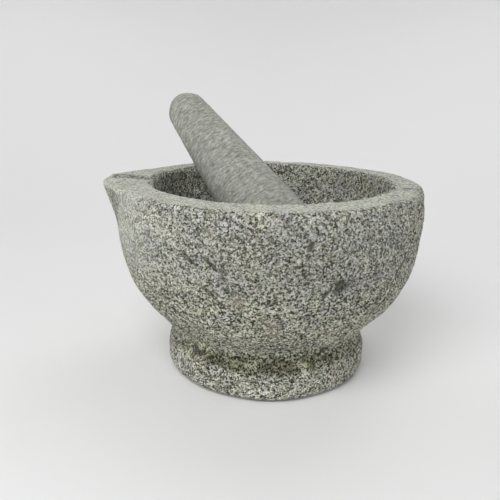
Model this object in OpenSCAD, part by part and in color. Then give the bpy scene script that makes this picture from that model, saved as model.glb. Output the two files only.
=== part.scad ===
// Molcajete: a footed stone mortar with a pouring spout, and its loose pestle.
// Millimetres, Z up. The origin is the centre of the foot's flat underside,
// the mortar's axis is Z, and the spout points along -X.

/* [Mortar] */
// Height from the table to the top of the rim
mortar_h = 102; // [96:1:115]
// Widest radius of the outside, a little below the rim
bowl_r = 80; // [78:0.5:86]
// How far below the rim the outside is at its widest
belly_drop = 13; // [10:1:16]
// Height of the curve from the widest ring down to the level where it would close
belly_h = 62.9; // [61:0.1:65]
// Height at which that curve gives way to the straight underside of the bowl
under_z = 38; // [36:0.5:42]
// Radius that rounds the rim's outer edge
rim_outer_edge = 2.5; // [1:0.5:4]
// Radius that rounds the rim's inner edge
rim_inner_edge = 2; // [1:0.5:3]

/* [Foot] */
// Radius of the ring that the mortar stands on
foot_r = 54; // [53:0.5:56]
// Radius that rounds the ring's lower edge
foot_low_edge = 7; // [3:0.5:9]
// Height above which the ring's side leans in towards the neck
foot_side_z = 11; // [9:0.5:12]
// Radius of the curve by which it leans in
foot_side_r = 16; // [12:1:20]
// Radius of the neck between ring and bowl
neck_r = 51.5; // [50:0.5:53]
// Height of the neck
neck_z = 24; // [23:0.5:26]
// Radius that eases the neck into the bowl
cove_r = 5; // [4:0.5:6]

/* [Grinding bowl] */
// Radius of the round grinding surface, and of the mouth
mouth_r = 61; // [57:0.5:64]
// How far the hollow is cut off the axis, away from the spout
hollow_shift_x = 1.0; // [0:0.1:2]
// How far the hollow is cut off the axis, towards the back
hollow_shift_y = 2.4; // [0:0.1:3]
// Height of the straight wall between the round surface and the rim
mouth_wall = 4; // [2:0.5:8]

/* [Spout] */
// Distance from the axis to the front of the spout, at its top
spout_reach = 86.8; // [85:0.2:89]
// Half the width of the spout's flat blunt front
front_half = 9; // [6:0.5:12]
// Distance from the axis to where the cheek at each side of the front ends
cheek_x = 74.5; // [74:0.5:76]
// Half the width of the spout across its two cheeks
cheek_half = 33; // [28:0.5:34]
// Half the width of the cheeks where they run into the bowl's side
cheek_foot_half = 20; // [12:0.5:24]
// Radius of the rim circle that the spout's sides run out from
shoulder_r = 77.5; // [76:0.5:79]
// Height of the spout's front from the rim down to where it meets the bowl's side
spout_h = 29; // [26:1:36]
// Width of the bevel along the spout's top edge
spout_edge = 1; // [0.5:0.5:2]
// Depth of the pouring trough where it leaves the hollow
trough_depth = 2.4; // [1:0.1:3]
// Half width of the trough where it leaves the hollow
trough_half = 9; // [6:0.5:12]
// How far the trough is cut off the middle of the spout, towards the back
trough_shift = 3.5; // [0:0.5:5]
// Distance from the axis at which the trough runs out
trough_end = 84; // [80:0.5:86]

/* [Pestle] */
// Length of the pestle, end to end
pestle_l = 154; // [140:1:170]
// Radius of the wide grinding end
pestle_wide_r = 23; // [21:0.5:25]
// Radius of the narrow end held in the hand
pestle_narrow_r = 12.1; // [10:0.1:14]

/* [Resting place] */
// Gap kept between the pestle and the stone that it rests on
rest_gap = 0.3; // [0.2:0.05:0.5]
// Direction of the resting spot in the bowl, around the axis from +X
rest_turn = -45; // [-90:1:0]
// Slope of the bowl's surface at the resting spot
rest_slope = 28; // [24:0.5:36]
// Lean of the pestle from upright
lean = 54.9; // [52:0.1:55]
// Direction that the narrow end leans to, around the axis from +X
lean_turn = 131.9; // [126:0.1:136]

/* [Hidden] */
$fn = 96;
HULL_FN = 32;
STONE = [0.53, 0.53, 0.49];
HONED_STONE = [0.62, 0.62, 0.58];
BIG = 200;

belly_z = mortar_h - belly_drop;
hollow_centre = [hollow_shift_x, hollow_shift_y, mortar_h - mouth_wall];
belly_power = 0.22;
foot_side_centre = [foot_r - foot_side_r, foot_side_z];
cove_centre = [neck_r + cove_r, neck_z];
foot_to_cove = cove_centre - foot_side_centre;
foot_side_end = turn_to(foot_to_cove) - acos(min(1, (foot_side_r + cove_r) / norm(foot_to_cove)));
cove_to_bowl = [belly_r(under_z), under_z] - cove_centre;
cove_end = turn_to(cove_to_bowl) + acos(cove_r / norm(cove_to_bowl));
spout_base_z = mortar_h - spout_h;
spout_base_x = at_width(belly_r(spout_base_z) - 0.2, front_half);
cheek_base_x = at_width(belly_r(spout_base_z) - 0.2, cheek_foot_half);
trough_start = mouth_r - hollow_shift_x;
trough_rise = atan(trough_depth / (trough_end - trough_start));
trough_r = (trough_half * trough_half + trough_depth * trough_depth) / (2 * trough_depth);

// Points of a round stretch about centre c, from angle a0 to a1
function arc(c, r, a0, a1, n = 8) =
    [for (i = [0:n]) let (a = a0 + (a1 - a0) * i / n) c + r * [cos(a), sin(a)]];

// The angle of a flat vector
function turn_to(v) = atan2(v.y, v.x);

// Radius of the outside of the bowl at height z, up to its widest ring
function belly_r(z) = bowl_r * pow(1 - pow((belly_z - z) / belly_h, 2), belly_power);

// The side of the bowl from the top of its straight underside up to the widest ring
function belly_points(n = 18) =
    [for (i = [0:n])
        let (z = under_z + (belly_z - under_z) * (1 - pow(1 - i / n, 1.6)))
        [belly_r(z), z]];

// How far from the axis a circle of radius r is `half` wide to each side
function at_width(r, half) = sqrt(r * r - half * half);

// A direction from its turn about Z and its angle up from level
function heading(turn, rise) = [cos(turn) * cos(rise), sin(turn) * cos(rise), sin(rise)];

module mortar_outside() {
    rotate_extrude()
        polygon(concat(
            [[0, 0]],
            arc([foot_r - foot_low_edge, foot_low_edge], foot_low_edge, -90, 0),
            arc(foot_side_centre, foot_side_r, 0, foot_side_end, 5),
            arc(cove_centre, cove_r, 180 + foot_side_end, cove_end, 5),
            belly_points(),
            arc([bowl_r - 0.6 - rim_outer_edge, mortar_h - rim_outer_edge], rim_outer_edge, 0, 90),
            [[0, mortar_h]]));
}

// A 1 mm thick slice through the spout at height z: its flat front and the ends of its cheeks
module spout_slice(z, front_x, cheek_x, cheek_half) {
    translate([0, 0, z])
        linear_extrude(1)
            polygon([
                [-front_x, front_half], [-front_x, -front_half],
                [-cheek_x, -cheek_half], [-cheek_x, cheek_half]]);
}

// A pouring lip with a flat front and a cheek at each side, running back into the bowl's side
module spout() {
    hull() {
        translate([0, 0, mortar_h - spout_edge])
            cylinder(r = shoulder_r, h = spout_edge, $fn = 2 * HULL_FN);
        spout_slice(mortar_h - spout_edge - 1, spout_reach, cheek_x, cheek_half);
        spout_slice(mortar_h - 1, spout_reach - spout_edge, cheek_x - spout_edge, cheek_half);
        spout_slice(spout_base_z, spout_base_x, cheek_base_x, cheek_foot_half);
    }
}

// The round grinding surface, the short wall over it and the eased inner edge
module bowl_inside() {
    edge = rim_inner_edge;
    translate(hollow_centre)
        rotate_extrude()
            polygon(concat(
                [[0, -mouth_r]],
                arc([0, 0], mouth_r, -88, 0, 32),
                arc([mouth_r + edge, mouth_wall - edge], edge, 180, 90),
                [[mouth_r + edge, mouth_wall + 1], [0, mouth_wall + 1]]));
}

// A shallow round-bottomed groove from the hollow, rising until it runs out near the front
module trough() {
    translate([-trough_end, trough_shift, mortar_h])
        rotate([0, 90 + trough_rise, 0])
            translate([-trough_r, 0, -BIG / 8])
                cylinder(r = trough_r, h = BIG / 2);
}

module mortar() {
    color(STONE)
        difference() {
            union() {
                mortar_outside();
                spout();
            }
            bowl_inside();
            trough();
        }
}

// The pestle standing on its wide end's centre: two round ends joined by a straight cone
module upright_pestle() {
    between = pestle_l - pestle_wide_r - pestle_narrow_r;
    cone_angle = asin((pestle_wide_r - pestle_narrow_r) / between);
    rotate_extrude()
        polygon(concat(
            [[0, -pestle_wide_r]],
            arc([0, 0], pestle_wide_r, -88, cone_angle, 24),
            arc([0, between], pestle_narrow_r, cone_angle, 88, 16),
            [[0, between + pestle_narrow_r]]));
}

module pestle() {
    touch = (mouth_r - pestle_wide_r - rest_gap) * heading(rest_turn, rest_slope - 90);
    color(HONED_STONE)
        translate(hollow_centre + touch)
            rotate([0, lean, lean_turn])
                upright_pestle();
}

mortar();
pestle();
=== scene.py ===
"""Looks for the molcajete: a footed, spouted granite mortar and its honed pestle.

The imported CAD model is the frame. Both stones are rebuilt here as dense carved surfaces that lie on
the CAD shapes, with the pecked pits, gouges and honed bands cut into the mesh, and get procedural
granite. Lengths are millimetres until mesh_from_grid() turns them into metres. The studio, apart from
the camera's place, is laid out in metres.
"""
import math

import bpy
import numpy as np
from mathutils import Matrix, Vector


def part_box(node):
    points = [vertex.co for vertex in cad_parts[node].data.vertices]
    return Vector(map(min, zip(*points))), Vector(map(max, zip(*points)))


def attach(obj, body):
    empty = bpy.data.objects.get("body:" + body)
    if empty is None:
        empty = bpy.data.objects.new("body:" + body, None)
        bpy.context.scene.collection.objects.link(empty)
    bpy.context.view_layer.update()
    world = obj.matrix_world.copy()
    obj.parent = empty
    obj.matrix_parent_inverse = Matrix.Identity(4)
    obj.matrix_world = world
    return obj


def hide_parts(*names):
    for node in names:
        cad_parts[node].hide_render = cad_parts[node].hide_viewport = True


MM = 0.001
TURN = 2 * math.pi

# Mortar, from the foot up
FOOT_R, FOOT_LOW_EDGE, FOOT_SIDE_Z, FOOT_SIDE_R = 54.0, 7.0, 11.0, 16.0
NECK_R, NECK_Z, COVE_R = 51.5, 24.0, 5.0
UNDER_Z, BELLY_DROP, BELLY_H, BELLY_POWER = 38.0, 13.0, 62.9, 0.22
RIM_OUTER_EDGE, RIM_INNER_EDGE = 2.5, 2.0
HOLLOW_R, HOLLOW_WALL = 61.0, 4.0
HOLLOW_SHIFT = np.array([1.0, 2.4])

# Spout, which points along -X: a flat front with a cheek at each side, the back one shorter
FRONT_HALF, CHEEK_X, CHEEK_HALF, CHEEK_FOOT_HALF = 9.0, 74.5, 33.0, 20.0
BACK_CHEEK_X, BACK_CHEEK_HALF = 79.5, 21.5
SHOULDER_R, SPOUT_H, SPOUT_TOP, SPOUT_SINK = 77.5, 29.0, 2.0, 0.2
SPOUT_HOLLOW, SPOUT_BLEND = 1.5, 1.6
TROUGH_Y, TROUGH_HALF, TROUGH_DEEP, TROUGH_START, TROUGH_END = 3.5, 9.0, 1.0, 58.0, 84.0

# Pestle and where it rests
WIDE_R, NARROW_R, PESTLE_L = 23.0, 12.1, 154.0
REST_TURN, REST_SLOPE, REST_GAP = -45.0, 28.0, 0.3
LEAN, LEAN_TURN = 54.9, 131.9


# ---------------------------------------------------------------- noise

# Large odd numbers that scatter neighbouring cells, and the bits that are kept
SCATTER_X, SCATTER_Y, SCATTER_Z, SCATTER_SEED = 374761393, 668265263, 2147483647, 974634777
SCATTER_AGAIN, SCATTER_LAST = 1274126177, 2246822519
KEEP_32, KEEP_24 = 0xFFFFFFFF, 0xFFFFFF


def lattice(cell, seed):
    """A repeatable random number from 0 to 1 for each cell, given by its three whole numbers."""
    x, y, z = np.moveaxis(cell.astype(np.int64), -1, 0)
    h = x * SCATTER_X + y * SCATTER_Y + z * SCATTER_Z + seed * SCATTER_SEED
    h = (h ^ (h >> 13)) * SCATTER_AGAIN & KEEP_32
    h = (h ^ (h >> 16)) * SCATTER_LAST & KEEP_32
    return ((h ^ (h >> 15)) & KEEP_24) / float(KEEP_24)


def noise(points, size, seed):
    """Smooth noise from -1 to 1 with features about `size` across."""
    p = points / size
    base = np.floor(p)
    t = p - base
    t = t * t * (3 - 2 * t)
    total = np.zeros(points.shape[:-1])
    for corner in np.ndindex(2, 2, 2):
        weight = np.prod(np.where(np.array(corner) == 1, t, 1 - t), axis=-1)
        total += weight * lattice(base + np.array(corner), seed)
    return 2 * total - 1


def summed_noise(points, layers):
    """The sum of several noises, each given as its size, height and seed."""
    return sum(high * noise(points, size, seed) for size, high, seed in layers)


def cells(points, size, seed):
    """Distance to the nearest of a jittered set of points `size` apart, as a share of size."""
    p = points / size
    base = np.floor(p)
    nearest = np.full(points.shape[:-1], np.inf)
    for step in np.ndindex(3, 3, 3):
        cell = base + np.array(step) - 1
        jitter = np.stack([lattice(cell, seed + k) for k in range(3)], axis=-1)
        nearest = np.minimum(nearest, np.linalg.norm(cell + jitter - p, axis=-1))
    return nearest


def smooth(low, high, x):
    """0 at low, 1 at high, and an even S between them."""
    t = np.clip((x - low) / (high - low), 0, 1)
    return t * t * (3 - 2 * t)


def smooth_max(a, b, width):
    """The larger of a and b, with the corner between them rounded over width."""
    overlap = np.maximum(width - np.abs(a - b), 0)
    return np.maximum(a, b) + overlap * overlap / (4 * width)


# ---------------------------------------------------------------- mesh helpers

def arc(centre, radius, start, end, count):
    """count + 1 points round a circle from angle start to end, in degrees."""
    a = np.radians(np.linspace(start, end, count + 1))
    return np.stack([centre[0] + radius * np.cos(a), centre[1] + radius * np.sin(a)], axis=-1)


def tangent_turn(away, radius, side):
    """Angle, on a circle, of the point whose tangent runs to a point `away` from the centre."""
    return math.degrees(math.atan2(away[1], away[0]) + side * math.acos(radius / np.hypot(*away)))


def even_spacing(line, step):
    """The same line with its points a step apart."""
    length = np.concatenate([[0], np.cumsum(np.linalg.norm(np.diff(line, axis=0), axis=1))])
    at = np.linspace(0, length[-1], int(length[-1] / step) + 1)
    return np.stack([np.interp(at, length, line[:, k]) for k in range(line.shape[1])], axis=-1)


def grid_normals(grid):
    """Outward normals of a grid of rows that each go once round the axis."""
    along = np.gradient(grid, axis=0)
    around = (np.roll(grid, -1, axis=1) - np.roll(grid, 1, axis=1)) / 2
    n = np.cross(around, along)
    return n / np.maximum(np.linalg.norm(n, axis=-1, keepdims=True), 1e-9)


def mesh_from_grid(name, grid, start, end, fields):
    """A closed mesh from rows that each go round once, closed by the two points start and end.

    Each field becomes a point attribute: a number for each point, or three.
    """
    rows, cols = grid.shape[:2]
    points = np.concatenate([[start], grid.reshape(-1, 3), [end]]) * MM
    i = np.arange(cols)
    j = (i + 1) % cols
    lower = 1 + np.arange(rows - 1)[:, None] * cols
    quads = np.stack([lower + i, lower + j, lower + cols + j, lower + cols + i], axis=-1).reshape(-1, 4)
    last = 1 + (rows - 1) * cols
    caps = np.concatenate([
        np.stack([np.zeros(cols, int), j + 1, i + 1], axis=-1),
        np.stack([np.full(cols, rows * cols + 1), last + i, last + j], axis=-1)])
    mesh = bpy.data.meshes.new(name)
    mesh.vertices.add(len(points))
    mesh.vertices.foreach_set("co", points.astype(np.float32).ravel())
    corners = np.concatenate([quads.ravel(), caps.ravel()])
    mesh.loops.add(len(corners))
    mesh.loops.foreach_set("vertex_index", corners.astype(np.int32))
    mesh.polygons.add(len(quads) + len(caps))
    starts = np.concatenate([np.arange(len(quads)) * 4, quads.size + np.arange(len(caps)) * 3])
    mesh.polygons.foreach_set("loop_start", starts.astype(np.int32))
    mesh.update(calc_edges=True)
    mesh.validate()
    mesh.polygons.foreach_set("use_smooth", np.ones(len(mesh.polygons), bool))
    for field, values in fields.items():
        size = values.shape[2] if values.ndim == 3 else 1
        flat = values.reshape(rows, cols, size)
        whole = np.concatenate([flat[:1].mean(axis=1), flat.reshape(-1, size), flat[-1:].mean(axis=1)])
        layer = mesh.attributes.new(field, "FLOAT_VECTOR" if size == 3 else "FLOAT", "POINT")
        layer.data.foreach_set("vector" if size == 3 else "value", whole.astype(np.float32).ravel())
    piece = bpy.data.objects.new(name, mesh)
    bpy.context.scene.collection.objects.link(piece)
    return piece


# ---------------------------------------------------------------- mortar shape

# Points round the mortar, spacing of its rows on side and base, and points in its rounded edges
AROUND, GRAIN_STEP, BASE_STEP, ARC_POINTS, EDGE_ROWS = 760, 0.62, 3.0, 40, 8
# Widest stretch of the rim's top and length of the hollow's arc, which set how many rows they get
LAND_WIDTH, HOLLOW_ARC = 26, 92
# How far the bowl leans in from its widest ring up to the rim
LIP = 0.9
# Where the mouth is cut wider: turn about Z, amount, and how far to each side it starts to fade
# and is gone, in degrees
WIDER = [(228.0, 2.0, 12, 48), (275.0, 0.5, 60, 95)]
# Directions that a slice through the spout is worked out in, the widest angle from -X that it is
# worked out for, and the cosine below which a face is edge-on
FACES, SPOUT_SPREAD, EDGE_ON = 361, 1.2, 0.02
PARTS = ("base", "foot", "side", "edge", "land", "lip", "hollow")


def belly_radius(z, height, bowl_r):
    """Radius of the bowl's outside at height z."""
    drop = np.clip((height - BELLY_DROP - z) / BELLY_H, 0, 0.9999)
    return bowl_r * np.power(1 - drop * drop, BELLY_POWER)


def outside_profile(height, bowl_r):
    """(radius, height) points from the edge of the flat underside up to just under the rim."""
    side = np.array([FOOT_R - FOOT_SIDE_R, FOOT_SIDE_Z])
    cove = np.array([NECK_R + COVE_R, NECK_Z])
    rim_z = height - RIM_OUTER_EDGE
    # the points close up towards the rim
    z = UNDER_Z + (rim_z - UNDER_Z) * (1 - np.power(1 - np.linspace(0, 1, 10 * ARC_POINTS), 1.5))
    lip = LIP * smooth(height - BELLY_DROP, height, z)
    bowl = np.stack([belly_radius(z, height, bowl_r) - lip, z], axis=-1)
    side_end = tangent_turn(cove - side, FOOT_SIDE_R + COVE_R, -1)
    parts = [
        arc((FOOT_R - FOOT_LOW_EDGE, FOOT_LOW_EDGE), FOOT_LOW_EDGE, -90, 0, ARC_POINTS),
        arc(side, FOOT_SIDE_R, 0, side_end, ARC_POINTS),
        arc(cove, COVE_R, 180 + side_end, tangent_turn(bowl[0] - cove, COVE_R, 1), ARC_POINTS),
        bowl]
    return even_spacing(np.concatenate(parts), GRAIN_STEP)


def spout_reach(face, front_x, cheek_x, cheek_half):
    """How far a slice through the spout reaches in each direction, as angles from -X."""
    front = front_x * np.cos(face) + FRONT_HALF * np.abs(np.sin(face))
    return np.maximum(front, cheek_x * np.cos(face) + cheek_half * np.abs(np.sin(face)))


def spout_radius(off, z, height, bowl_r, tip, cheek_x, cheek_half):
    """Radius of the spout's side at height z: the CAD hull, but a little hollowed out below."""
    base_z = height - SPOUT_H
    base_r = belly_radius(base_z, height, bowl_r) - SPOUT_SINK
    rise = min(max((z - base_z) / (SPOUT_H - SPOUT_TOP), 0.0), 1.0)
    face = np.radians(np.linspace(-90, 90, FACES))
    top = np.maximum(spout_reach(face, tip, cheek_x, cheek_half), SHOULDER_R)
    base = spout_reach(face, math.sqrt(base_r ** 2 - FRONT_HALF ** 2),
                       math.sqrt(base_r ** 2 - CHEEK_FOOT_HALF ** 2), CHEEK_FOOT_HALF)
    reach = base + (top - base) * rise - SPOUT_HOLLOW * math.sin(math.pi * math.sqrt(rise))
    facing = np.cos(face[None, :] - np.minimum(off, SPOUT_SPREAD)[:, None])
    side = np.where(facing > EDGE_ON, reach / np.maximum(facing, EDGE_ON), np.inf).min(axis=1)
    # inside the bowl's side beyond the cheeks and below the spout, so that the bowl shows there
    return side - 14 * smooth(0.75, 1.1, off) - 30 * smooth(0, 8, base_z - z)


def turned_from(angle, turn):
    """Degrees between angle and the direction turn, at most 180."""
    return np.abs((np.degrees(angle) - turn + 180) % 360 - 180)


def mortar_grid(low, high):
    """Rows of points over the whole mortar, from the underside's middle up to the hollow's.

    Returns them with the part of the surface that each row is on, each column's angle from the
    spout's direction, and the height of the rim.
    """
    height, bowl_r, tip = high.z / MM, high.x / MM, -low.x / MM
    angle = np.linspace(0, TURN, AROUND, endpoint=False)
    unit = np.stack([np.cos(angle), np.sin(angle)], axis=-1)
    off = np.abs(angle - math.pi)
    profile = outside_profile(height, bowl_r)
    rows, part = [], []

    def add(radius, z, name, centre=(0, 0)):
        flat = np.array(centre) + unit * np.reshape(radius, (-1, 1))
        rows.append(np.column_stack([flat, np.broadcast_to(z, angle.shape)]))
        part.append(name)

    for r in np.arange(BASE_STEP + 1, FOOT_R - FOOT_LOW_EDGE, BASE_STEP):
        add(r, 0, "base")
    for r, z in profile:
        side = np.where(
            angle < math.pi,
            spout_radius(off, z, height, bowl_r, tip, BACK_CHEEK_X, BACK_CHEEK_HALF),
            spout_radius(off, z, height, bowl_r, tip, CHEEK_X, CHEEK_HALF))
        add(smooth_max(np.full(AROUND, r), side, SPOUT_BLEND), z, "side" if z > NECK_Z else "foot")

    # the outer edge rolls over onto the land, softly along the spout's sides and crisply at its front
    top = np.hypot(rows[-1][:, 0], rows[-1][:, 1])
    crisp = smooth(0.47, 0.4, off)
    edge = RIM_OUTER_EDGE + 1.5 * smooth(0.95, 0.75, off) * (1 - crisp) - 1.4 * crisp
    for a in np.radians(np.linspace(8, 90, EDGE_ROWS)):
        level = height - RIM_OUTER_EDGE * (1 - np.sin(a))
        add(top - edge * (1 - np.cos(a)) ** (1 + 1.5 * crisp), level, "edge")
    land_start = rows[-1].copy()

    # the mouth is cut a little wider towards the front, and its edge is sharper at spout and right
    wider = sum(
        amount * smooth(gone, fade, np.abs(np.degrees(angle) - turn))
        for turn, amount, fade, gone in WIDER)
    inner = RIM_INNER_EDGE + 0.8 - 1.6 * smooth(0.6, 0.3, off)
    inner -= 1.5 * smooth(55, 25, turned_from(angle, 0))
    land_end = HOLLOW_R + inner + wider
    end = np.column_stack([HOLLOW_SHIFT + unit * land_end[:, None], np.full(AROUND, height)])
    for share in np.linspace(0, 1, int(LAND_WIDTH / GRAIN_STEP) + 1)[1:]:
        rows.append(land_start + (end - land_start) * share)
        part.append("land")
    for a in np.radians(np.linspace(10, 90, EDGE_ROWS)):
        add(land_end - inner * np.sin(a), height - inner * (1 - np.cos(a)), "lip", HOLLOW_SHIFT)
    for r, z in arc((0, 0), HOLLOW_R, 0, -86, int(HOLLOW_ARC / GRAIN_STEP)):
        level = np.minimum(height - HOLLOW_WALL + z, height - inner)
        add(r + wider * smooth(-26, 0, z), level, "hollow", HOLLOW_SHIFT)
    return np.stack(rows), np.array(part), off, height


MARKS = [
    # dark gouges: turn about Z, height, half length, half width, depth, lean from level
    (-65.7, 68.2, 4.4, 3.8, 1.2, 20),
    (-55.6, 26.3, 2.5, 1.8, 0.6, 0),
    (-77.1, 87.7, 2.2, 1.6, 0.6, 60),
    (-115.6, 79.2, 6.0, 0.9, 0.8, -40),
    (-108.0, 78.0, 5.0, 0.8, 0.6, -38),
    (-109.7, 64.7, 5.5, 0.9, 0.6, -42),
    (-103.2, 66.6, 2.2, 1.2, 0.5, -30),
    (-130.3, 20.5, 4.0, 2.2, 0.7, 0),
    (-39.7, 69.1, 3.2, 1.2, 0.6, 80),
    (-36.9, 73.3, 3.0, 1.2, 0.6, 75),
    (-43.2, 53.8, 2.2, 1.6, 0.6, 10),
    (-70.4, 66.0, 2.0, 1.4, 0.6, 30),
    (-81.1, 78.6, 2.6, 1.0, 0.5, 15),
    (38.0, 60.0, 3.6, 2.6, 0.8, 15),
    (100.0, 72.0, 4.8, 1.2, 0.8, -35),
    (154.0, 52.0, 3.2, 2.2, 0.8, 25),
]

STAINS = [
    # brown patches: turn about Z, height, half width
    (-88.4, 47.0, 6.0),
    (-107.5, 92.0, 3.0),
    (-99.3, 60.0, 4.0),
    (62.0, 55.0, 5.0),
]

SCRATCH_DEPTH = 0.5
SCRATCHES = [
    # dark scratches: x and y on the rim, half length, half width, turn
    (70.0, -13.5, 3.0, 1.8, 3),
    (72.5, -3.0, 1.3, 0.5, -20),
    (-20.0, 68.5, 2.2, 0.6, 30),
]

SWELLS = [
    # where the hand-cut side is fuller or flatter: turn about Z, height, half width in degrees,
    # half height, amount
    (-8, 63, 34, 17, 0.7),
    (-165, 42, 40, 14, -0.9),
    (-52, 4, 24, 10, -0.7),
]

PAINTED_LIGHT_AND_SHADE_PATCHES = [
    # painted light and shade: the side is painted darker at the upper front and paler at the right,
    # the front underside and the foot, laid out as the swells are
    (-84, 78, 52, 27, -0.2),
    (0, 72, 34, 42, 0.2),
    (-90, 41, 85, 18, 0.16),
    (-90, 4, 110, 10, 0.22),
    (-150, 12, 50, 30, 0.1),
]

# The pecked surface: pits as size, reach as a share of it, depth and seed, and noises as size,
# height and seed for its bumps, the uneven block, the honed bands' edges and the patches of grime and
# painted shade
PIT_FLOOR = 0.05
PITS = [(1.9, 0.55, 0.42, 11), (1.2, 0.5, 0.32, 17)]
BUMPS = [(1.3, 0.16, 21), (3.4, 0.14, 22)]
WAVES = [(11, 0.3, 31), (34, 0.45, 32)]
BAND_EDGES = [(3.0, 0.9, 7), (9.0, 1.1, 8)]
GRIME_AND_PAINTED_SHADE_NOISES = [(6.5, 1.0, 61), (2.4, 0.7, 62)]


def oval(x, y, half_l, half_w, lean):
    """Distance from the middle of a leaning oval, 1 at its edge."""
    c, s = math.cos(math.radians(lean)), math.sin(math.radians(lean))
    return np.hypot((x * c + y * s) / half_l, (y * c - x * s) / half_w)


def spot(grid, turn, level, half_l, half_w, lean=0.0):
    """Distance from the middle of an oval on the side, 1 at its edge."""
    x, y, z = np.moveaxis(grid, -1, 0)
    away = (np.arctan2(y, x) - math.radians(turn) + math.pi) % TURN - math.pi
    return oval(away * np.hypot(x, y), z - level, half_l, half_w, lean)


def dented(distance):
    """Share of a gouge's depth at a distance from its middle."""
    return smooth(1.25, 0.2, distance)


def darkened(distance):
    """Share of a gouge's darkness at a distance from its middle."""
    return smooth(1.3, 0.5, distance)


def patches(grid, places):
    """The summed amounts of soft-edged patches on the side."""
    x, y, z = np.moveaxis(grid, -1, 0)
    total = np.zeros(z.shape)
    for turn, level, half_turn, half_h, amount in places:
        away = turned_from(np.arctan2(y, x), turn)
        total += amount * smooth(1, 0, np.hypot(away / half_turn, (z - level) / half_h))
    return total


def honed_mask(grid, is_part, off):
    """How far the stone is honed smooth, from 0 where it is left pecked to 1.

    Returns it with the pecked streak in the trough and the spout's pecked front.
    """
    x, y, z = np.moveaxis(grid, -1, 0)
    uneven = summed_noise(grid, BAND_EDGES)
    flat = is_part["land"] | is_part["edge"]
    # the rim's top, up to an uneven line at its outer and inner edge
    outer = np.hypot(x, y) + uneven - 6 * smooth(0.85, 0.5, off) - 7 * smooth(0.4, 0.15, off)
    from_hollow = np.hypot(x - HOLLOW_SHIFT[0], y - HOLLOW_SHIFT[1]) - HOLLOW_R - RIM_INNER_EDGE
    pecked_lip = 0.6 + 1.4 * smooth(0.62, 0.35, off)
    honed = flat * smooth(78.6, 75.6, outer) * smooth(0, 1.6, from_hollow - pecked_lip + 0.5 * uneven)
    # less so at the right
    honed *= 1 - 0.4 * smooth(40, 60, x) * smooth(-0.4, 0.6, noise(grid, 1.8, 12))
    # a pecked streak runs up the trough to the spout's front
    middle = 4 - 0.25 * np.clip(x + 79, 0, 20)
    across = np.abs(y - middle + 1.5 * noise(grid, 5, 5)) / 8.5
    streak = smooth(1.15, 0.4, across) * smooth(-86, -82, x) * smooth(-58, -64, x)
    honed *= 1 - 0.85 * smooth(0.3, 0.7, streak + 0.25 * noise(grid, 2.5, 9))
    # on the spout's sides it fades downwards and round the bowl, and is weaker on the front
    fall = z.max() - z
    front = smooth(0.02, -0.02, off - 0.43 + 0.0003 * fall ** 2 + 0.015 * noise(grid, 4, 6))
    side = smooth(1.15, 0.45, off) * smooth(48, 88, z + 4 * noise(grid, 6, 4)) * (1 - 0.6 * front)
    side *= is_part["side"] | is_part["edge"]
    return np.maximum(honed, 0.85 * side), streak * flat, front * smooth(30, 18, fall)


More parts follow.
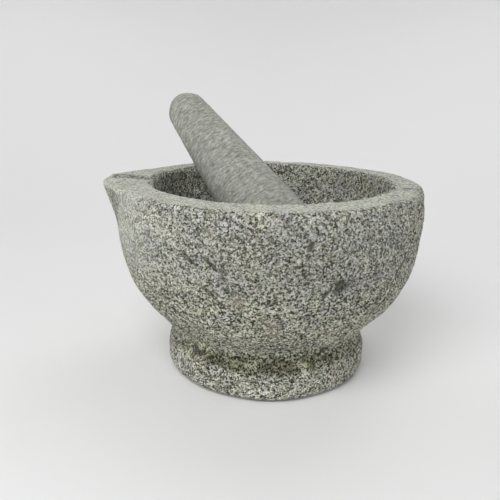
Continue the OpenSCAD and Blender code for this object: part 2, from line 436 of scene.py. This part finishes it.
def carve_mortar(grid, part, off, height):
    """Adds the trough, the hand-made unevenness and the pecked texture.

    Returns the grid and the fields that the shader reads.
    """
    is_part = {name: (part == name)[:, None] for name in PARTS}
    on_top = is_part["land"] | is_part["edge"] | is_part["lip"]
    on_side = is_part["side"] | is_part["foot"]
    inside = is_part["lip"] | is_part["hollow"]
    carved = np.where(is_part["base"], 0.0, 1.0)
    x, y, z = np.moveaxis(grid, -1, 0)

    # pouring trough, deepest at the hollow and running out before the front
    along = np.clip((-x - TROUGH_START) / (TROUGH_END - TROUGH_START), 0, 1)
    across = np.abs(y - TROUGH_Y + 0.8 * noise(grid, 9, 5)) / TROUGH_HALF
    trough = smooth(1.1, 0.2, across) * smooth(1.0, 0.3, along)
    trough *= smooth(8 - TROUGH_START, -TROUGH_START, x)
    grid[..., 2] -= TROUGH_DEEP * trough * on_top
    honed, streak, front = honed_mask(grid, is_part, off)

    normal = grid_normals(grid)
    # the lower half and the right are rawer, so rougher; there the grains and the painted pit shade are
    # also given more contrast, as painted shade
    low = smooth(72, 52, z) * (1 - 0.6 * smooth(20, 10, z))
    raw_and_shaded = on_side * np.maximum(low, 0.8 * smooth(58, 76, x)) + 0.3 * inside
    rough = (1 - 0.8 * honed) * (1 + 0.3 * raw_and_shaded) * carved
    relief = summed_noise(grid, BUMPS)
    for size, reach, deep, seed in PITS:
        relief -= deep * smooth(reach, PIT_FLOOR, cells(grid, size, seed))
    waves = summed_noise(grid, WAVES) + patches(grid, SWELLS) * on_side
    waves = np.where(inside, waves - 0.6, waves + 0.2)
    # painted light and shade over the side
    painted_light_and_shade = 1 + patches(grid, PAINTED_LIGHT_AND_SHADE_PATCHES) * on_side

    # grime and painted shade in the neck, most of all at the front; painted shade on the spout's front;
    # darker inside the hollow just under the rim, towards the right
    facing = smooth(75, 25, turned_from(np.arctan2(y, x), -76))
    grime_and_painted_shade = (0.6 + 0.9 * facing) * smooth(14, 18.5, z) * smooth(26, 22, z) * on_side
    grime_and_painted_shade += 0.4 * front * is_part["side"]
    grime_and_painted_shade += 0.3 * smooth(height - 18, height - 6, z) * smooth(20, 50, x) * inside
    grime_and_painted_shade *= 0.35 + 0.65 * smooth(-0.5, 0.6, summed_noise(grid, GRIME_AND_PAINTED_SHADE_NOISES))

    # dark flecks along the trough's streak, then the marks that are placed one by one
    dark = 0.7 * streak * smooth(0.0, 0.5, noise(grid * np.array([1, 0.22, 1]), 1.5, 14))
    depth = np.zeros_like(z)
    stain = np.zeros_like(z)
    wobble = 1 + 0.35 * noise(grid, 2.2, 41)
    for turn, level, half_l, half_w, deep, lean in MARKS:
        away = spot(grid, turn, level, half_l, half_w, lean) * wobble
        depth = np.maximum(depth, deep * dented(away) * on_side)
        dark = np.maximum(dark, darkened(away) * on_side)
    for px, py, half_l, half_w, turn in SCRATCHES:
        away = oval(x - px, y - py, half_l, half_w, turn) * wobble
        depth = np.maximum(depth, SCRATCH_DEPTH * dented(away) * is_part["land"])
        dark = np.maximum(dark, darkened(away) * is_part["land"])
    for turn, level, size in STAINS:
        away = spot(grid, turn, level, size, size) * wobble
        stain = np.maximum(stain, smooth(1.3, 0.3, away) * on_side)

    move = rough * relief + waves * (1 - 0.5 * honed) - depth
    move *= carved * smooth(0.0, 3.0, z)
    # painted shade in the pits and painted highlight on the bumps, deeper on the raw parts
    painted_pit_shade = np.clip(relief * rough * (1 + 0.9 * raw_and_shaded) + 0.5, 0, 1)
    grid += normal * move[..., None]
    grid[..., 2] = np.maximum(grid[..., 2], 0)
    return grid, {
        "honed": honed, "relief": painted_pit_shade, "raw_and_shaded": raw_and_shaded, "painted_light_and_shade": painted_light_and_shade,
        "grime_and_painted_shade": grime_and_painted_shade, "mark": dark, "stain": stain}


def make_mortar():
    """The mortar, sized by the frame's own mortar and closed at the bottom of the hollow."""
    low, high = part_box("mortar")
    grid, part, off, height = mortar_grid(low, high)
    grid, fields = carve_mortar(grid, part, np.broadcast_to(off, grid.shape[:2]), height)
    end = (*HOLLOW_SHIFT, grid[-1, :, 2].mean() - 0.05)
    return mesh_from_grid("mortar_stone", grid, (0, 0, 0), end, fields)


# ---------------------------------------------------------------- pestle shape

# Spacing of the pestle's rows, and points round it
PESTLE_STEP, PESTLE_AROUND = 0.6, 260
# How deep its pits are, how far its surface lies inside the CAD's, and how high its marks stand
PESTLE_PIT_DEPTH, PESTLE_SINK, GRINDING_HEIGHT = 0.12, 0.12, 0.05
# Noises as size, height and seed: the marks, drawn out round the shaft, and the uneven shape
DRAWN_OUT = np.array([0.16, 0.16, 1.0])
GRINDING_MARKS = [(0.9, 1.0, 51), (2.2, 0.6, 52)]
PESTLE_WAVES = [(14, 0.15, 53), (5, 0.1, 54)]
# How far the tip's shoulder is cut back, and how far its end stands out
TIP_CUT, TIP_RISE = 0.7, 0.8


def heading(turn, rise):
    """A direction from its turn about Z and its angle up from level."""
    turn, rise = math.radians(turn), math.radians(rise)
    return np.array([math.cos(turn) * math.cos(rise), math.sin(turn) * math.cos(rise), math.sin(rise)])


def make_pestle():
    """The pestle is carved upright on its wide end's centre, then leaned into place."""
    between = PESTLE_L - WIDE_R - NARROW_R
    cone = math.degrees(math.asin((WIDE_R - NARROW_R) / between))
    line = even_spacing(np.concatenate([
        arc((0, 0), WIDE_R, -88, cone, 60),
        arc((0, between), NARROW_R, cone, 88, 40)]), PESTLE_STEP)
    angle = np.linspace(0, TURN, PESTLE_AROUND, endpoint=False)
    upright = np.stack([
        line[:, None, 0] * np.cos(angle),
        line[:, None, 0] * np.sin(angle),
        np.broadcast_to(line[:, None, 1], (len(line), PESTLE_AROUND))], axis=-1)
    normal = grid_normals(upright)
    pits = smooth(0.32, 0.08, cells(upright, 3.2, 55))
    relief = GRINDING_HEIGHT * summed_noise(upright * DRAWN_OUT, GRINDING_MARKS)
    relief += summed_noise(upright, PESTLE_WAVES) - PESTLE_SINK - PESTLE_PIT_DEPTH * pits
    past_cone = np.clip((upright[..., 2] - between) / NARROW_R, 0, 1)
    relief -= TIP_CUT * smooth(0.1, 0.6, past_cone) * smooth(1.0, 0.85, past_cone)
    upright[..., 2] += TIP_RISE * past_cone ** 2
    upright = upright + normal * relief[..., None]

    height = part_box("mortar")[1].z / MM
    centre = np.array([*HOLLOW_SHIFT, height - HOLLOW_WALL])
    centre += (HOLLOW_R - WIDE_R - REST_GAP) * heading(REST_TURN, REST_SLOPE - 90)
    turn = Matrix.Rotation(math.radians(LEAN_TURN), 3, "Z") @ Matrix.Rotation(math.radians(LEAN), 3, "Y")
    placed = upright @ np.array(turn).T + centre
    start, end = placed[0].mean(axis=0), placed[-1].mean(axis=0)
    return mesh_from_grid("pestle_stone", placed, start, end, {"pits": pits, "own": upright})


# ---------------------------------------------------------------- materials

# Where a mix node keeps its colours
MIX_A, MIX_B, MIX_RESULT = 6, 7, 2


class Nodes:
    """A short way to write a material's node tree."""

    def __init__(self, name):
        self.material = bpy.data.materials.new(name)
        self.material.use_nodes = True
        self.tree = self.material.node_tree
        self.shader = self.tree.nodes["Principled BSDF"]

    def add(self, kind, **inputs):
        """A new node, with values or links for its inputs by name."""
        node = self.tree.nodes.new(kind)
        for key, value in inputs.items():
            self.plug(node.inputs[key.replace("_", " ")], value)
        return node

    def plug(self, socket, value):
        """Links another node's output to a socket, or sets the socket to a plain value."""
        if isinstance(value, bpy.types.NodeSocket):
            self.tree.links.new(value, socket)
        else:
            socket.default_value = value

    def millimetres(self):
        """Object coordinates in millimetres."""
        coords = self.add("ShaderNodeTexCoord").outputs["Object"]
        return self.scaled(coords, (1 / MM, 1 / MM, 1 / MM))

    def scaled(self, vector, factors, turn=(0, 0, 0)):
        """The vector scaled, and turned by degrees about X, Y and Z."""
        node = self.add("ShaderNodeMapping", Vector=vector)
        node.inputs["Scale"].default_value = factors
        node.inputs["Rotation"].default_value = [math.radians(t) for t in turn]
        return node.outputs["Vector"]

    def noise(self, vector, scale, detail=2.0, roughness=0.5):
        node = self.add(
            "ShaderNodeTexNoise", Vector=vector, Scale=scale, Detail=detail, Roughness=roughness)
        return node.outputs["Fac"]

    def jostled(self, vector, scale, amount):
        """The vector pushed about a little, so that the grains aren't straight-edged."""
        push = self.add("ShaderNodeTexNoise", Vector=vector, Scale=scale, Detail=1.0).outputs["Color"]
        node = self.add("ShaderNodeVectorMath")
        node.operation = "MULTIPLY_ADD"
        self.plug(node.inputs[0], push)
        node.inputs[1].default_value = (amount, amount, amount)
        self.plug(node.inputs[2], vector)
        return node.outputs[0]

    def grains(self, vector, scale):
        """A random number for each stone grain."""
        node = self.add("ShaderNodeTexVoronoi", Vector=vector, Scale=scale)
        split = self.add("ShaderNodeSeparateColor", Color=node.outputs["Color"])
        return split.outputs["Red"]

    def attribute(self, name, output="Fac"):
        node = self.add("ShaderNodeAttribute")
        node.attribute_name = name
        return node.outputs[output]

    def math(self, operation, a, b=0.0, c=None):
        node = self.add("ShaderNodeMath")
        node.operation = operation
        self.plug(node.inputs[0], a)
        self.plug(node.inputs[1], b)
        if c is not None:
            self.plug(node.inputs[2], c)
        return node.outputs[0]

    def ramp(self, value, stops):
        """A colour for each value, from (value, colour) stops."""
        node = self.add("ShaderNodeValToRGB", Fac=value)
        ramp = node.color_ramp
        while len(ramp.elements) < len(stops):
            ramp.elements.new(0.5)
        for element, (at, colour) in zip(ramp.elements, stops):
            element.position = at
            element.color = (*colour, 1)
        return node.outputs["Color"]

    def mix(self, factor, a, b, blend="MIX"):
        """Colour a with colour b over it. Each is a node's output or a plain colour."""
        node = self.tree.nodes.new("ShaderNodeMix")
        node.data_type = "RGBA"
        node.blend_type = blend
        self.plug(node.inputs["Factor"], factor)
        for socket, colour in ((MIX_A, a), (MIX_B, b)):
            plain = not isinstance(colour, bpy.types.NodeSocket)
            self.plug(node.inputs[socket], (*colour, 1) if plain else colour)
        return node.outputs[MIX_RESULT]

    def bump(self, height, strength, distance):
        node = self.add("ShaderNodeBump", Height=height, Strength=strength, Distance=distance)
        return node.outputs["Normal"]


BLACK_MICA = (0.042, 0.042, 0.028)
SLATE = (0.17, 0.172, 0.14)
QUARTZ = (0.32, 0.325, 0.29)
FELDSPAR = (0.51, 0.512, 0.472)
CHALK = (0.72, 0.72, 0.685)
HONED_DARK = (0.17, 0.175, 0.15)
HONED_GREY = (0.40, 0.405, 0.37)
HONED_PALE = (0.54, 0.545, 0.50)
HONED_WHITE = (0.66, 0.665, 0.62)
STAIN = (0.36, 0.30, 0.24)
# olive colour of the grime and of the painted shade in the neck and on the spout's front
GRIME_AND_PAINTED_SHADE_COLOUR = (0.40, 0.39, 0.31)

# Colours by where they come in a blend of random grains, from the darkest grains to the palest
PECKED_GRAINS = [
    (0.0, BLACK_MICA), (0.24, BLACK_MICA), (0.36, SLATE), (0.5, QUARTZ), (0.64, FELDSPAR), (0.85, CHALK)]
HONED_GRAINS = [
    (0.0, HONED_DARK), (0.24, HONED_DARK), (0.40, HONED_GREY), (0.6, HONED_PALE), (1.0, HONED_WHITE)]
PESTLE_GRAINS = [
    (0.1, (0.165, 0.165, 0.145)), (0.35, (0.28, 0.285, 0.26)),
    (0.6, (0.405, 0.41, 0.375)), (0.85, (0.57, 0.57, 0.53))]

# Factors that the colour is multiplied by
# painted shade in the pits and painted highlight on the bumps, from the relief
RELIEF_SHADE = [(0.0, (0.6, 0.6, 0.58)), (0.5, (1, 1, 1)), (1.0, (1.1, 1.1, 1.1))]
CLOUDS = [(0.3, (0.90, 0.91, 0.93)), (0.7, (1.09, 1.08, 1.01))]
TINTS = [(0.35, (0.98, 1.02, 0.94)), (0.65, (1.02, 0.99, 1.04))]
RAW_TINT = [(0.0, (1, 1, 1)), (1.0, (1.02, 1.01, 0.93))]
PESTLE_TINTS = [(0.35, (0.93, 0.95, 0.90)), (0.65, (1.05, 1.04, 1.04))]

SPECULAR = 0.3
# Grains to a millimetre, the share of each in the blend, and the blend's middle
COARSE_SCALE, FINE_SCALE = 1.35, 2.6
COARSE_SHARE, FINE_SHARE = 0.62, 0.38
MIDDLE_GRAIN = 0.48
# How much of each layer shows
STAIN_SHARE, GRIME_AND_PAINTED_SHADE_SHARE, MARK_SHARE, PIT_SHARE = 0.35, 0.8, 0.8, 0.35


def pecked_granite():
    """Salt-and-pepper granite, with more contrast where it is pecked, and paler where it is honed."""
    n = Nodes("granite_pecked")
    mm = n.millimetres()
    loose = n.jostled(mm, 1.4, 0.6)
    coarse = n.grains(loose, COARSE_SCALE)
    fine = n.grains(loose, FINE_SCALE)
    raw_and_shaded = n.attribute("raw_and_shaded")
    blend = n.math("MULTIPLY_ADD", coarse, COARSE_SHARE, n.math("MULTIPLY", fine, FINE_SHARE))
    # more grain contrast on the raw parts, as painted shade
    contrast = n.math("MULTIPLY_ADD", raw_and_shaded, 1.2, 1.0)
    blend = n.math("MULTIPLY_ADD", n.math("SUBTRACT", blend, MIDDLE_GRAIN), contrast, MIDDLE_GRAIN)
    honed = n.attribute("honed")
    colour = n.mix(honed, n.ramp(blend, PECKED_GRAINS), n.ramp(blend, HONED_GRAINS))
    # each factor darkens or lightens the colour: painted shade and highlight from the relief, cloudy and
    # tinted grain, painted light and shade, and the raw parts' tint
    for factor in (
            n.ramp(n.attribute("relief"), RELIEF_SHADE),
            n.ramp(n.noise(mm, 0.08, 3.0), CLOUDS),
            n.ramp(n.noise(mm, 0.25, 2.0), TINTS),
            n.attribute("painted_light_and_shade"),
            n.ramp(raw_and_shaded, RAW_TINT)):
        colour = n.mix(1.0, colour, factor, "MULTIPLY")
    colour = n.mix(n.math("MULTIPLY", n.attribute("stain"), STAIN_SHARE), colour, STAIN)
    # grime, and painted shade in the neck and on the spout's front
    colour = n.mix(n.math("MULTIPLY", n.attribute("grime_and_painted_shade"), GRIME_AND_PAINTED_SHADE_SHARE), colour, GRIME_AND_PAINTED_SHADE_COLOUR, "MULTIPLY")
    colour = n.mix(n.math("MULTIPLY", n.attribute("mark"), MARK_SHARE), colour, BLACK_MICA)
    n.plug(n.shader.inputs["Base Color"], colour)
    n.plug(n.shader.inputs["Roughness"], n.math("MULTIPLY_ADD", honed, -0.12, 0.92))
    n.shader.inputs["Specular IOR Level"].default_value = SPECULAR
    crumbs = n.math("MULTIPLY_ADD", fine, 0.6, n.noise(mm, 1.9, 3.0, 0.7))
    strength = n.math("MULTIPLY_ADD", honed, -0.7, 1.0)
    n.plug(n.shader.inputs["Normal"], n.bump(crumbs, strength, 0.45 * MM))
    return n.material


def honed_granite():
    """The pestle's stone: pale grey with fine grinding marks that run round the shaft."""
    n = Nodes("granite_honed")
    own = n.attribute("own", "Vector")
    round_marks = n.scaled(own, (0.24, 0.24, 0.8), (9, 4, 0))
    streaks = n.noise(round_marks, 1.2, 3.0, 0.55)
    grain = n.math("MULTIPLY_ADD", n.grains(own, 0.8), 0.4, n.math("MULTIPLY", n.grains(own, 1.6), 0.3))
    blend = n.math("MULTIPLY_ADD", streaks, 1.25, n.math("MULTIPLY_ADD", grain, 0.45, -0.375))
    tint = n.ramp(n.noise(own, 0.06, 2.0), PESTLE_TINTS)
    colour = n.mix(1.0, n.ramp(blend, PESTLE_GRAINS), tint, "MULTIPLY")
    colour = n.mix(n.math("MULTIPLY", n.attribute("pits"), PIT_SHARE), colour, SLATE)
    n.plug(n.shader.inputs["Base Color"], colour)
    n.shader.inputs["Roughness"].default_value = 0.8
    n.shader.inputs["Specular IOR Level"].default_value = SPECULAR
    n.plug(n.shader.inputs["Normal"], n.bump(streaks, 0.55, 0.3 * MM))
    return n.material


# ---------------------------------------------------------------- studio

# The camera's place in millimetres, and which ways its right and its top point
CAMERA_AT = (0.0, -328.3, 156.6)
CAMERA_RIGHT = (0.99919, 0.03531, 0.01911)
CAMERA_UP = (-0.02799, 0.27161, 0.96200)
LENS = 44.904
CLIP_START = 0.01

# Radius of the sweep, radius of the bend from floor to wall, and height of the wall
SWEEP_R, SWEEP_BEND, SWEEP_H = 1.0, 0.6, 1.3
# Points round the sweep, and radius of its innermost ring
SWEEP_AROUND, SWEEP_HUB = 96, 0.05
PAPER = (0.85, 0.85, 0.85, 1)


def make_camera():
    """The camera, a little above the rim and looking down at the object."""
    data = bpy.data.cameras.new("camera")
    data.lens = LENS
    data.clip_start = CLIP_START
    camera = bpy.data.objects.new("camera", data)
    right, up = Vector(CAMERA_RIGHT).normalized(), Vector(CAMERA_UP).normalized()
    axes = Matrix((right, up, right.cross(up))).transposed().to_4x4()
    camera.matrix_world = Matrix.Translation(Vector(CAMERA_AT) * MM) @ axes
    bpy.context.scene.collection.objects.link(camera)
    bpy.context.scene.camera = camera


def make_sweep():
    """A round studio sweep: a flat floor that curves up into a wall on every side."""
    flat = SWEEP_R - SWEEP_BEND
    line = np.concatenate([
        np.stack([np.linspace(SWEEP_HUB, flat, 8), np.zeros(8)], axis=-1),
        arc((flat, SWEEP_BEND), SWEEP_BEND, -90, 0, 24)[1:],
        [(SWEEP_R, SWEEP_H)]])
    cols = SWEEP_AROUND
    angle = np.linspace(0, TURN, cols, endpoint=False)
    points = [(0, 0, 0)]
    points += [(r * math.cos(a), r * math.sin(a), z) for r, z in line for a in angle]
    faces = [(0, 1 + i, 1 + (i + 1) % cols) for i in range(cols)]
    for a in range(1, 1 + (len(line) - 1) * cols, cols):
        b = a + cols
        faces += [(a + i, b + i, b + (i + 1) % cols, a + (i + 1) % cols) for i in range(cols)]
    mesh = bpy.data.meshes.new("studio_sweep")
    mesh.from_pydata(points, [], faces)
    mesh.polygons.foreach_set("use_smooth", np.ones(len(faces), bool))
    sweep = bpy.data.objects.new("studio_sweep", mesh)
    bpy.context.scene.collection.objects.link(sweep)
    n = Nodes("paper")
    n.shader.inputs["Base Color"].default_value = PAPER
    n.shader.inputs["Roughness"].default_value = 0.9
    n.shader.inputs["Specular IOR Level"].default_value = 0.1
    mesh.materials.append(n.material)


# The point that the lamps are aimed at, their distance from it, and their diameter
AIM = Vector((0, 0, 0.05))
LIGHT_AWAY, LIGHT_SIZE = 0.9, 0.6


def area_light(name, turn, rise, watts):
    """A round soft light aimed at the object, from a turn about Z and an angle up from level."""
    place = Vector(heading(turn, rise)) * LIGHT_AWAY + AIM
    data = bpy.data.lights.new(name, "AREA")
    data.shape = "DISK"
    data.size = LIGHT_SIZE
    data.energy = watts
    lamp = bpy.data.objects.new(name, data)
    lamp.location = place
    lamp.rotation_mode = "QUATERNION"
    lamp.rotation_quaternion = (AIM - place).to_track_quat("-Z", "Y")
    bpy.context.scene.collection.objects.link(lamp)


LIGHTS = [
    # name, turn about Z, rise, watts
    ("window", 250, 42, 5.6),
    ("back_right", 60, 40, 0.95),
    ("over_back", 60, 65, 1.05),
    ("back_left", 120, 40, 1.05),
    ("right_low", 0, 15, 1.1),
]


def make_lights():
    """The lamps are the only light: the world itself gives none."""
    world = bpy.data.worlds.new("studio")
    world.use_nodes = True
    world.node_tree.nodes["Background"].inputs["Strength"].default_value = 0.0
    bpy.context.scene.world = world
    for light in LIGHTS:
        area_light(*light)


def dress(piece, body, node, material):
    """Gives a piece its material, ties it to its body and hides the CAD node it replaces."""
    piece.data.materials.append(material)
    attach(piece, body)
    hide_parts(node)


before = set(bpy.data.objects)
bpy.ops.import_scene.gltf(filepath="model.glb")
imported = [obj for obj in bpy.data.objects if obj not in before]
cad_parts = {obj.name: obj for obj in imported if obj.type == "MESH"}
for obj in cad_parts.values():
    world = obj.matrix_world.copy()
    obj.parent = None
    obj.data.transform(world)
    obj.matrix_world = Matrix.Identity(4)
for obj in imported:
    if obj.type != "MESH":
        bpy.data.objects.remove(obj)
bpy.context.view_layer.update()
bpy.context.scene.view_settings.view_transform = "Standard"
make_camera()
make_sweep()
make_lights()
dress(make_mortar(), "mortar", "mortar", pecked_granite())
dress(make_pestle(), "pestle", "pestle", honed_granite())
